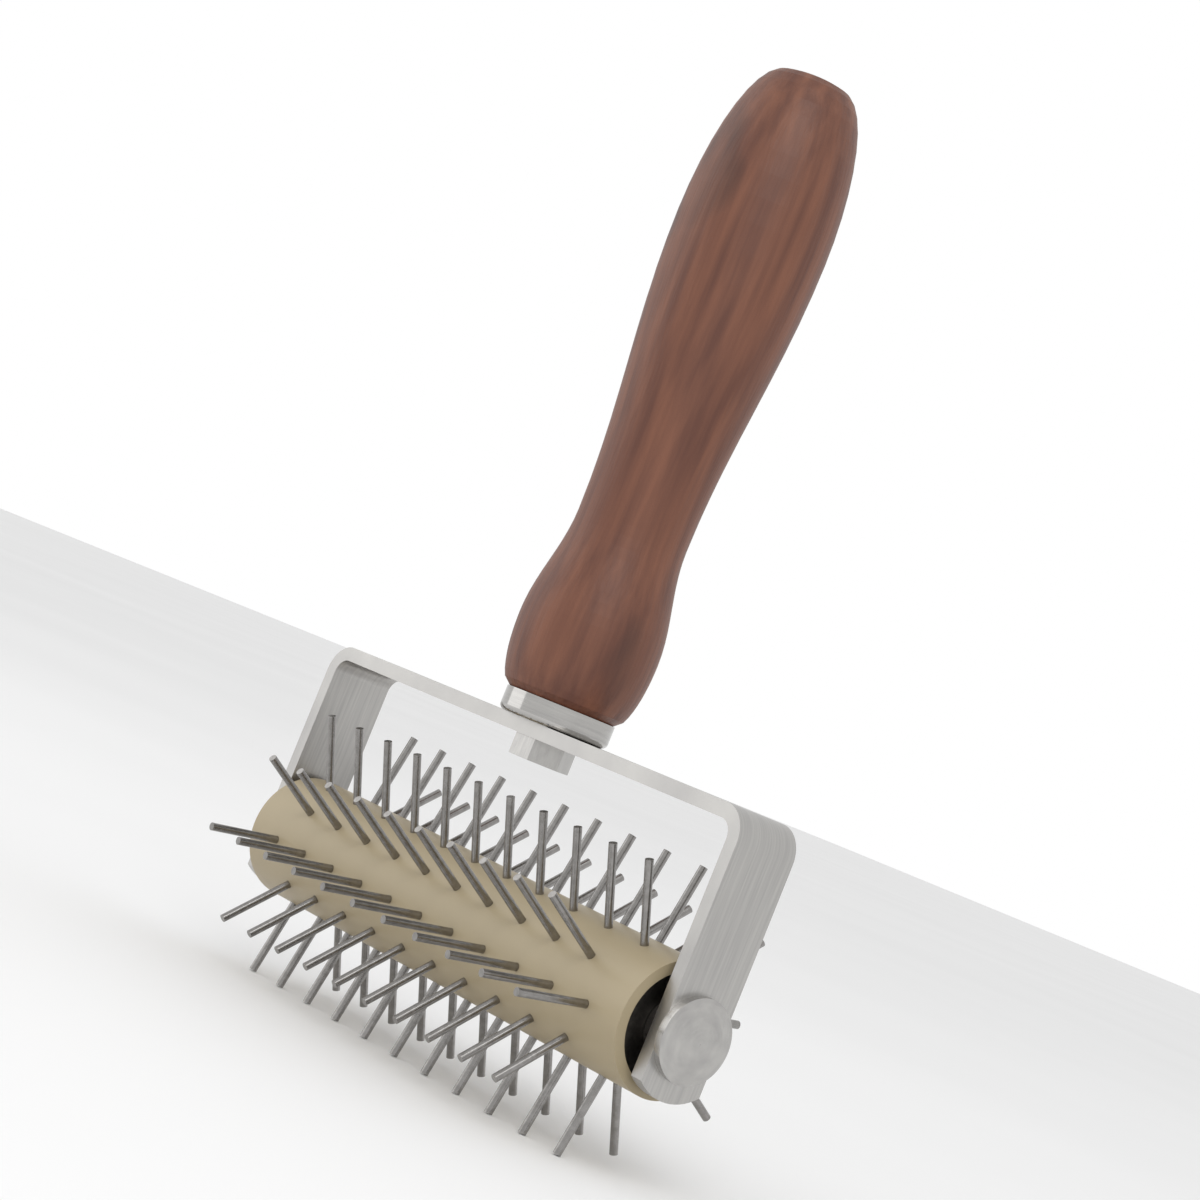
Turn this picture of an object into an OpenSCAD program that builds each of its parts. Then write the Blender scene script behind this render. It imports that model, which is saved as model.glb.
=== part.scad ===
// Dough docker: a hand roller whose pins prick holes in rolled dough.
// Sizes are in millimetres. Z runs up the handle, X along the axle, and -Y is the front.
// The lowest pin tips stand on z = 0 under the middle of the tool.

/* [Barrel] */
// Length of the barrel along the axle
barrel_length = 118; // [90:1:150]
// Outside diameter of the barrel
barrel_d = 24; // [20:0.5:30]
// How far each end disc sits below the barrel's end
disc_recess = 0.5; // [0.2:0.1:1.5]
// Thickness of each end disc
disc_t = 2; // [1:0.5:4]
// Diameter of each end disc
disc_d = 20; // [16:0.5:21]

/* [Pins] */
// Number of pin rows around the barrel, an even number
row_count = 10; // [10:2:10]
// Pins in the longer rows; the rows between them have one fewer
long_row_pins = 11; // [7:1:11]
// Distance between neighbouring pins of a row
pin_pitch = 10; // [8:0.5:10]
// Diameter of each pin
pin_d = 1.5; // [1:0.1:2.5]
// How far each pin stands out of the barrel
pin_reach = 14.8; // [8:0.2:16]
// How deep each pin is set into the barrel
pin_depth = 5; // [2:0.5:5]
// Angle of the first row above straight forward
pin_phase = 30; // [0:1:35]

/* [Axle] */
// Diameter of the axle
axle_d = 6; // [4:0.5:7]
// Outside diameter of the bushes in the barrel
bush_d = 10; // [9:0.5:11]
// Length of each bush
bush_length = 10; // [6:1:20]
// Outside diameter of the spacer washers
washer_d = 12; // [10:0.5:14]
// Diameter of the domed axle heads
cap_d = 15; // [12:0.5:18]
// Height of the straight rim of an axle head
cap_rim = 1.5; // [1:0.1:3]
// Height of the dome on an axle head
cap_dome = 1.2; // [0.6:0.1:2]
// How far the axle reaches into each head
cap_socket = 1.2; // [0.6:0.1:1.4]

/* [Yoke] */
// Width of the yoke's strip
yoke_w = 13.5; // [12:0.5:20]
// Thickness of the yoke's strip
yoke_t = 2.7; // [2:0.1:4]
// Inside radius of the yoke's bends
bend_r = 3; // [2:0.5:6]
// Height from the axle's centre to the top of the yoke's plate
yoke_rise = 38; // [36:0.5:60]
// Gap between a barrel end and the yoke's arm
end_gap = 1.8; // [1:0.1:4]
// Radius of the round cut at the arms' lower ends
arm_end_r = 11; // [10.5:0.5:14]

/* [Handle] */
// Length of the wooden handle
handle_length = 122; // [90:1:160]
// Radius of the handle where it leaves the ferrule
foot_r = 10; // [9.5:0.1:11]
// Radius of the bulb near the handle's foot
bulb_r = 13.4; // [11.5:0.1:16]
// Radius of the handle's waist
waist_r = 10.5; // [9:0.1:13]
// Radius of the handle's thickest stretch
belly_r = 14.3; // [12:0.1:18]
// Radius of the flat end of the handle
end_flat_r = 6; // [3:0.5:9]
// Diameter of the ferrule
ferrule_d = 20.8; // [20:0.2:24]
// Height of the ferrule
ferrule_h = 4.5; // [3:0.1:8]
// Depth of the handle's seat in the ferrule
ferrule_seat = 1; // [0.5:0.1:2]
// Radius of the ferrule's rounded lower edge
ferrule_round = 1.2; // [0.5:0.1:1.8]

/* [Bolt] */
// Diameter of the handle bolt
bolt_d = 6; // [5:0.5:7]
// Width of the bolt's hex head across its flats
hex_af = 10; // [8:0.5:13]
// Height of the bolt's hex head
hex_h = 4; // [3:0.5:5]
// How far the bolt reaches into the handle
bolt_in_handle = 18; // [12:1:30]
// Outside diameter of the threaded insert in the wood
insert_d = 10; // [8:0.5:12]

/* [Hidden] */
$fn = 96;
fixed_fit = 0.02;
running_fit = 0.05;
hole_fit = 0.1;
face_gap = 0.1;
insert_end_gap = 2;
row_step = 360 / row_count;
barrel_r = barrel_d / 2;
pin_root_r = barrel_r - pin_depth;
pin_length = pin_reach + pin_depth;
tip_r = barrel_r + pin_reach;
axle_z = max([for (k = [0 : row_count - 1])
    -tip_r * sin(row_angle(k)) + abs(cos(row_angle(k))) * pin_d / 2]);
disc_face_x = barrel_length / 2 - disc_recess;
arm_inner_x = barrel_length / 2 + end_gap;
arm_outer_x = arm_inner_x + yoke_t;
plate_top_z = axle_z + yoke_rise;
plate_low_z = plate_top_z - yoke_t;
bend_x = arm_inner_x - bend_r;
bend_z = plate_low_z - bend_r;
washer_t = end_gap + disc_recess - face_gap;
ferrule_r = ferrule_d / 2;
seat_r = foot_r - 1;
handle_foot_z = plate_top_z + ferrule_h;
insert_z = handle_foot_z - ferrule_seat;
insert_length = bolt_in_handle + insert_end_gap;
bulb_z = 0.107 * handle_length;
waist_z = 0.28 * handle_length;
belly_z = 0.75 * handle_length;
curve_steps = 10;

// Rows run round the barrel from the front, first upwards.
function row_angle(k) = pin_phase + k * row_step;
function row_pins(k) = long_row_pins - (k % 2 == 0 ? 1 : 0);
function ease(t) = (1 - cos(180 * t)) / 2;

// Puts its children at the axle's centre with their Z turned onto the X axis.
module along_axle(x) {
    translate([x, 0, axle_z]) rotate([0, 90, 0]) children();
}

// Draws its children on the right and again on the left.
module on_side(side) {
    if (side > 0) children();
    else mirror([1, 0, 0]) children();
}

// One row's straight pins, or the holes that hold them.
module pins(k, width) {
    for (i = [0 : row_pins(k) - 1])
        translate([(i - (row_pins(k) - 1) / 2) * pin_pitch, 0, axle_z])
            rotate([90 - row_angle(k), 0, 0])
                translate([0, 0, pin_root_r])
                    cylinder(d = width, h = pin_length);
}

module pin_row(k) {
    color([0.72, 0.72, 0.73]) pins(k, pin_d);
}

// The wooden handle: a bulb, a waist and a belly that rounds over to a flat end.
module handle() {
    foot = [for (i = [0 : curve_steps]) let (t = i / curve_steps)
        [foot_r + (bulb_r - foot_r) * sqrt(1 - pow(1 - t, 2)), t * bulb_z]];
    neck = [for (i = [1 : curve_steps]) let (t = i / curve_steps)
        [bulb_r + (waist_r - bulb_r) * ease(t), bulb_z + t * (waist_z - bulb_z)]];
    belly = [for (i = [1 : curve_steps]) let (t = i / curve_steps)
        [waist_r + (belly_r - waist_r) * ease(t), waist_z + t * (belly_z - waist_z)]];
    top = [for (i = [1 : curve_steps]) let (a = 90 * i / curve_steps)
        [end_flat_r + (belly_r - end_flat_r) * cos(a),
            belly_z + (handle_length - belly_z) * sin(a)]];
    color([0.42, 0.22, 0.15])
    difference() {
        union() {
            translate([0, 0, handle_foot_z])
                rotate_extrude()
                    polygon(concat([[0, 0]], foot, neck, belly, top, [[0, handle_length]]));
            translate([0, 0, insert_z])
                cylinder(r = seat_r, h = ferrule_seat + 1);
        }
        translate([0, 0, insert_z - 1])
            cylinder(d = insert_d + 2 * fixed_fit, h = insert_length + 1);
    }
}

// The metal cup between the handle and the yoke.
module ferrule() {
    edge = [for (i = [0 : curve_steps]) let (a = 90 * i / curve_steps)
        [ferrule_r - ferrule_round + ferrule_round * sin(a),
            ferrule_round - ferrule_round * cos(a)]];
    bore_r = bolt_d / 2 + hole_fit;
    color([0.78, 0.76, 0.74])
    translate([0, 0, plate_top_z])
        rotate_extrude()
            polygon(concat([[bore_r, 0]], edge,
                [[ferrule_r, ferrule_h], [seat_r + fixed_fit, ferrule_h],
                [seat_r + fixed_fit, ferrule_h - ferrule_seat], [bore_r, ferrule_h - ferrule_seat]]));
}

// The threaded sleeve that the wood holds and the bolt screws into.
module handle_insert() {
    color([0.6, 0.6, 0.62])
    difference() {
        translate([0, 0, insert_z])
            cylinder(d = insert_d, h = insert_length);
        translate([0, 0, insert_z - 1])
            cylinder(d = bolt_d + 2 * fixed_fit, h = insert_length + 2);
    }
}

// The hex bolt that clamps the handle and ferrule onto the yoke.
module handle_bolt() {
    color([0.7, 0.7, 0.71]) {
        translate([0, 0, plate_low_z - hex_h])
            cylinder(d = hex_af / cos(30), h = hex_h, $fn = 6);
        translate([0, 0, plate_low_z - hex_h])
            cylinder(d = bolt_d, h = hex_h + yoke_t + ferrule_h - ferrule_seat + bolt_in_handle);
    }
}

// One arm of the yoke, with its bend, on the right side.
module yoke_arm() {
    translate([arm_inner_x, -yoke_w / 2, axle_z])
        cube([yoke_t, yoke_w, bend_z - axle_z]);
    intersection() {
        translate([arm_inner_x, -yoke_w / 2, axle_z - arm_end_r])
            cube([yoke_t, yoke_w, arm_end_r]);
        along_axle(arm_inner_x) cylinder(r = arm_end_r, h = yoke_t);
    }
    translate([bend_x, yoke_w / 2, bend_z])
        rotate([90, 0, 0])
            rotate_extrude(angle = 90)
                translate([bend_r, 0]) square([yoke_t, yoke_w]);
}

// The bent strip that carries the axle at the bottom and the handle on top.
module yoke() {
    color([0.74, 0.74, 0.73])
    difference() {
        union() {
            translate([-bend_x, -yoke_w / 2, plate_low_z])
                cube([2 * bend_x, yoke_w, yoke_t]);
            yoke_arm();
            mirror([1, 0, 0]) yoke_arm();
        }
        translate([0, 0, plate_low_z - 1])
            cylinder(r = bolt_d / 2 + hole_fit, h = yoke_t + 2);
        along_axle(-arm_outer_x - 1)
            cylinder(r = axle_d / 2 + fixed_fit, h = 2 * (arm_outer_x + 1));
    }
}

// The axle, held still in both arms.
module axle() {
    color([0.66, 0.66, 0.68])
    along_axle(-arm_outer_x - cap_socket)
        cylinder(d = axle_d, h = 2 * (arm_outer_x + cap_socket));
}

// A round head with a low dome and a socket for the axle's end.
module axle_cap(side) {
    cap_r = cap_d / 2;
    socket_r = axle_d / 2 + fixed_fit;
    dome_r = (pow(cap_r, 2) + pow(cap_dome, 2)) / (2 * cap_dome);
    dome_angle = asin(cap_r / dome_r);
    dome = [for (i = [0 : curve_steps]) let (a = dome_angle * (1 - i / curve_steps))
        [dome_r * sin(a), cap_rim + cap_dome - dome_r * (1 - cos(a))]];
    color([0.76, 0.76, 0.76])
    on_side(side)
        along_axle(arm_outer_x)
            rotate_extrude()
                polygon(concat([[0, cap_socket], [socket_r, cap_socket], [socket_r, 0],
                    [cap_r, 0]], dome));
}

// A washer that keeps the turning barrel off the arm.
module spacer_washer(side) {
    color([0.7, 0.7, 0.72])
    on_side(side)
    difference() {
        along_axle(arm_inner_x - washer_t) cylinder(d = washer_d, h = washer_t);
        along_axle(arm_inner_x - washer_t - 1)
            cylinder(r = axle_d / 2 + fixed_fit, h = washer_t + 2);
    }
}

// The plastic barrel, with a hole for every pin and a recess in each end.
module roller_barrel() {
    color([0.67, 0.61, 0.49])
    difference() {
        along_axle(-barrel_length / 2) cylinder(d = barrel_d, h = barrel_length);
        along_axle(-barrel_length / 2 - 1)
            cylinder(d = bush_d + 2 * fixed_fit, h = barrel_length + 2);
        for (side = [-1, 1])
            on_side(side)
                along_axle(disc_face_x - disc_t)
                    cylinder(d = disc_d + 2 * fixed_fit, h = disc_t + disc_recess + 1);
        for (k = [0 : row_count - 1]) pins(k, pin_d + 2 * fixed_fit);
    }
}

// A dark steel disc pressed into the barrel's end.
module end_plate(side) {
    color([0.25, 0.24, 0.23])
    on_side(side)
    difference() {
        along_axle(disc_face_x - disc_t) cylinder(d = disc_d, h = disc_t);
        along_axle(disc_face_x - disc_t - 1)
            cylinder(d = bush_d + 2 * fixed_fit, h = disc_t + 2);
    }
}

// A sleeve that turns with the barrel on the axle.
module bush(side) {
    color([0.62, 0.5, 0.3])
    on_side(side)
    difference() {
        along_axle(disc_face_x - bush_length) cylinder(d = bush_d, h = bush_length);
        along_axle(disc_face_x - bush_length - 1)
            cylinder(r = axle_d / 2 + running_fit, h = bush_length + 2);
    }
}

module axle_cap_left() { axle_cap(-1); }
module axle_cap_right() { axle_cap(1); }
module spacer_washer_left() { spacer_washer(-1); }
module spacer_washer_right() { spacer_washer(1); }
module end_plate_left() { end_plate(-1); }
module end_plate_right() { end_plate(1); }
module bush_left() { bush(-1); }
module bush_right() { bush(1); }
module pin_row_01() { pin_row(0); }
module pin_row_02() { pin_row(1); }
module pin_row_03() { pin_row(2); }
module pin_row_04() { pin_row(3); }
module pin_row_05() { pin_row(4); }
module pin_row_06() { pin_row(5); }
module pin_row_07() { pin_row(6); }
module pin_row_08() { pin_row(7); }
module pin_row_09() { pin_row(8); }
module pin_row_10() { pin_row(9); }

handle();
ferrule();
handle_insert();
handle_bolt();
yoke();
axle();
axle_cap_left();
axle_cap_right();
spacer_washer_left();
spacer_washer_right();
roller_barrel();
end_plate_left();
end_plate_right();
bush_left();
bush_right();
pin_row_01();
pin_row_02();
pin_row_03();
pin_row_04();
pin_row_05();
pin_row_06();
pin_row_07();
pin_row_08();
pin_row_09();
pin_row_10();
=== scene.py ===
import math

import bpy
from mathutils import Matrix, Vector


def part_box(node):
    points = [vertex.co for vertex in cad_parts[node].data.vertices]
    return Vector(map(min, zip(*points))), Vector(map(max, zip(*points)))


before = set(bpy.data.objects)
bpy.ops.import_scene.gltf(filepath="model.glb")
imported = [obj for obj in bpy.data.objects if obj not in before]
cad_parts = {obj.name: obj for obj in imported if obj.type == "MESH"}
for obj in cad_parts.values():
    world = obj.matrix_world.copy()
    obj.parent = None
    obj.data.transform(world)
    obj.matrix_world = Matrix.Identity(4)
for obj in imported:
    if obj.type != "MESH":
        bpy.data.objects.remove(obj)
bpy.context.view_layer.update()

# Camera: the photograph's angle, with the roll that tips the handle to the right.
CAMERA_AZIMUTH = 51.3
CAMERA_ELEVATION = -2.5
CAMERA_ROLL = 22.1
CAMERA_LENS = 87.0
SENSOR_WIDTH = 36.0
CAMERA_OFFSET = Vector((0.407, -0.327, 0.040))
AXLE_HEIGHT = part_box("axle")[0].z / 2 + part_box("axle")[1].z / 2

# Colours, in linear light.
WOOD_LIGHT = (0.195, 0.072, 0.038, 1)
WOOD_DARK = (0.110, 0.036, 0.020, 1)
SMUDGE = (0.030, 0.012, 0.009, 1)
BARREL_COLOUR = (0.400, 0.330, 0.212, 1)
BARREL_SHADE = (0.375, 0.308, 0.196, 1)
STEEL_COLOUR = (0.52, 0.51, 0.49, 1)
STEEL_SHADE = (0.43, 0.42, 0.41, 1)
PIN_COLOUR = (0.34, 0.33, 0.32, 1)
PIN_SHADE = (0.26, 0.25, 0.24, 1)
# End plate colours, near black: painted shade of the roller's end recess, put into the steel's
# colour.
DISC_PAINTED_SHADE_DARK = (0.050, 0.046, 0.042, 1)
DISC_PAINTED_SHADE_LIGHT = (0.085, 0.078, 0.070, 1)
BRONZE_COLOUR = (0.40, 0.27, 0.13, 1)
BRONZE_SHADE = (0.30, 0.20, 0.10, 1)


def new_material(name):
    """An empty node material with its shader and output joined."""
    material = bpy.data.materials.new(name)
    material.use_nodes = True
    tree = material.node_tree
    shader = tree.nodes["Principled BSDF"]
    place = tree.nodes.new("ShaderNodeTexCoord")
    return material, tree, shader, place.outputs["Object"]


def stretched(tree, place, scale):
    """Object coordinates scaled along each axis."""
    mapping = tree.nodes.new("ShaderNodeMapping")
    mapping.inputs["Scale"].default_value = scale
    tree.links.new(place, mapping.inputs["Vector"])
    return mapping.outputs["Vector"]


def noise(tree, vector, scale, detail):
    node = tree.nodes.new("ShaderNodeTexNoise")
    node.inputs["Scale"].default_value = scale
    node.inputs["Detail"].default_value = detail
    tree.links.new(vector, node.inputs["Vector"])
    return node.outputs["Fac"]


def ramp(tree, value, low, high, colours):
    node = tree.nodes.new("ShaderNodeValToRGB")
    node.color_ramp.elements[0].position = low
    node.color_ramp.elements[1].position = high
    node.color_ramp.elements[0].color = colours[0]
    node.color_ramp.elements[1].color = colours[1]
    tree.links.new(value, node.inputs["Fac"])
    return node.outputs["Color"]


def bump(tree, shader, value, strength, distance):
    node = tree.nodes.new("ShaderNodeBump")
    node.inputs["Strength"].default_value = strength
    node.inputs["Distance"].default_value = distance
    tree.links.new(value, node.inputs["Height"])
    tree.links.new(node.outputs["Normal"], shader.inputs["Normal"])


def metal(name, colours, roughness, scale, strength):
    """A steel with fine marks that run the way scale stretches them."""
    material, tree, shader, place = new_material(name)
    marks = noise(tree, stretched(tree, place, scale), 1.0, 4.0)
    tree.links.new(ramp(tree, marks, 0.3, 0.7, colours), shader.inputs["Base Color"])
    shader.inputs["Metallic"].default_value = 1.0
    shader.inputs["Roughness"].default_value = roughness
    bump(tree, shader, marks, strength, 0.0001)
    return material


def wood():
    """Stained wood with grain along Z, darker smudges and open pores."""
    material, tree, shader, place = new_material("stained_wood")
    grain = noise(tree, stretched(tree, place, (420, 420, 22)), 1.0, 6.0)
    colour = ramp(tree, grain, 0.32, 0.70, (WOOD_DARK, WOOD_LIGHT))
    patches = ramp(tree, noise(tree, stretched(tree, place, (48, 48, 30)), 1.0, 2.0),
                   0.62, 0.78, ((0, 0, 0, 1), (1, 1, 1, 1)))
    mix = tree.nodes.new("ShaderNodeMix")
    mix.data_type = "RGBA"
    tree.links.new(patches, mix.inputs["Factor"])
    tree.links.new(colour, mix.inputs["A"])
    mix.inputs["B"].default_value = SMUDGE
    tree.links.new(mix.outputs["Result"], shader.inputs["Base Color"])
    shader.inputs["Roughness"].default_value = 0.46
    pores = noise(tree, stretched(tree, place, (1900, 1900, 90)), 1.0, 3.0)
    bump(tree, shader, pores, 0.35, 0.0002)
    return material


def plastic():
    """Semi-matt moulded plastic with a faint mottle."""
    material, tree, shader, place = new_material("barrel_plastic")
    mottle = noise(tree, stretched(tree, place, (60, 60, 60)), 1.0, 5.0)
    tree.links.new(ramp(tree, mottle, 0.3, 0.7, (BARREL_SHADE, BARREL_COLOUR)),
                   shader.inputs["Base Color"])
    shader.inputs["Roughness"].default_value = 0.42
    grain = noise(tree, stretched(tree, place, (2500, 2500, 2500)), 1.0, 2.0)
    bump(tree, shader, grain, 0.08, 0.0001)
    return material


steel_pair = (STEEL_SHADE, STEEL_COLOUR)
brushed = metal("brushed_strip", steel_pair, 0.34, (70, 2600, 70), 0.10)
polished = metal("polished_ferrule", steel_pair, 0.12, (90, 90, 1500), 0.04)
turned = metal("turned_head", steel_pair, 0.24, (2600, 300, 300), 0.06)
pin_steel = metal("pin_steel", (PIN_SHADE, PIN_COLOUR), 0.22, (900, 900, 900), 0.06)
# The end plates get a near-black steel colour: painted shade of the recess they sit in.
disc_painted_shade = metal("disc_painted_shade", (DISC_PAINTED_SHADE_DARK, DISC_PAINTED_SHADE_LIGHT), 0.42, (300, 900, 900), 0.10)
bronze = metal("bush_bronze", (BRONZE_SHADE, BRONZE_COLOUR), 0.35, (600, 600, 600), 0.08)
LOOKS = {"handle": wood(), "ferrule": polished, "handle_insert": pin_steel,
         "handle_bolt": turned, "yoke": brushed, "axle": pin_steel,
         "axle_cap": turned, "spacer_washer": pin_steel, "roller_barrel": plastic(),
         "end_plate": disc_painted_shade, "bush": bronze, "pin_row": pin_steel}

for name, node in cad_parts.items():
    look = next(LOOKS[key] for key in sorted(LOOKS, key=len, reverse=True)
                if name.startswith(key))
    for material_slot in node.material_slots:
        material_slot.material = look

# Camera
camera_data = bpy.data.cameras.new("camera")
camera_data.lens = CAMERA_LENS
camera_data.sensor_width = SENSOR_WIDTH
camera = bpy.data.objects.new("camera", camera_data)
bpy.context.scene.collection.objects.link(camera)
bpy.context.scene.camera = camera
azimuth = math.radians(CAMERA_AZIMUTH)
elevation = math.radians(CAMERA_ELEVATION)
forward = Vector((-math.sin(azimuth) * math.cos(elevation),
                  math.cos(azimuth) * math.cos(elevation), -math.sin(elevation)))
right = forward.cross(Vector((0, 0, 1))).normalized()
up = right.cross(forward)
turn = Matrix.Rotation(math.radians(CAMERA_ROLL), 3, forward)
right, up = turn.inverted() @ right, turn.inverted() @ up
axes = Matrix((right, up, -forward)).transposed()
camera.matrix_world = Matrix.Translation(CAMERA_OFFSET + Vector((0, 0, AXLE_HEIGHT))) @ axes.to_4x4()

# Pale floor, white surroundings and soft studio lamps.
FLOOR_HALF = 12.0
floor_mesh = bpy.data.meshes.new("floor")
floor_mesh.from_pydata([(-FLOOR_HALF, -FLOOR_HALF, 0), (FLOOR_HALF, -FLOOR_HALF, 0),
                        (FLOOR_HALF, FLOOR_HALF, 0), (-FLOOR_HALF, FLOOR_HALF, 0)],
                       [], [(0, 1, 2, 3)])
floor = bpy.data.objects.new("floor", floor_mesh)
bpy.context.scene.collection.objects.link(floor)
floor_material, floor_tree, floor_shader, floor_place = new_material("floor_white")
floor_mottle = noise(floor_tree, floor_place, 3.0, 2.0)
floor_tree.links.new(ramp(floor_tree, floor_mottle, 0.2, 0.8,
                          ((0.88, 0.88, 0.88, 1), (0.92, 0.92, 0.92, 1))),
                     floor_shader.inputs["Base Color"])
floor_shader.inputs["Roughness"].default_value = 0.8
floor.data.materials.append(floor_material)

world = bpy.data.worlds.new("studio")
bpy.context.scene.world = world
world.use_nodes = True
LAMP_LIGHT = (0.86, 0.86, 0.86, 1)
SEEN_WHITE = (1.0, 1.0, 1.0, 1)
background = world.node_tree.nodes["Background"]
rays = world.node_tree.nodes.new("ShaderNodeLightPath")
seen = world.node_tree.nodes.new("ShaderNodeMix")
seen.data_type = "RGBA"
seen.inputs["A"].default_value = LAMP_LIGHT
seen.inputs["B"].default_value = SEEN_WHITE
world.node_tree.links.new(rays.outputs["Is Camera Ray"], seen.inputs["Factor"])
world.node_tree.links.new(seen.outputs["Result"], background.inputs["Color"])


def lamp(name, place, size, power):
    data = bpy.data.lights.new(name, "AREA")
    data.size = size
    data.energy = power
    obj = bpy.data.objects.new(name, data)
    bpy.context.scene.collection.objects.link(obj)
    obj.location = place
    aim = Vector((0, 0, 0.09)) - Vector(place)
    obj.rotation_euler = aim.to_track_quat("-Z", "Y").to_euler()


lamp("key", (0.7, -0.5, 0.8), 0.6, 3.0)
lamp("fill", (-0.7, -0.6, 0.4), 0.8, 1.5)
bpy.context.scene.view_settings.view_transform = "Standard"
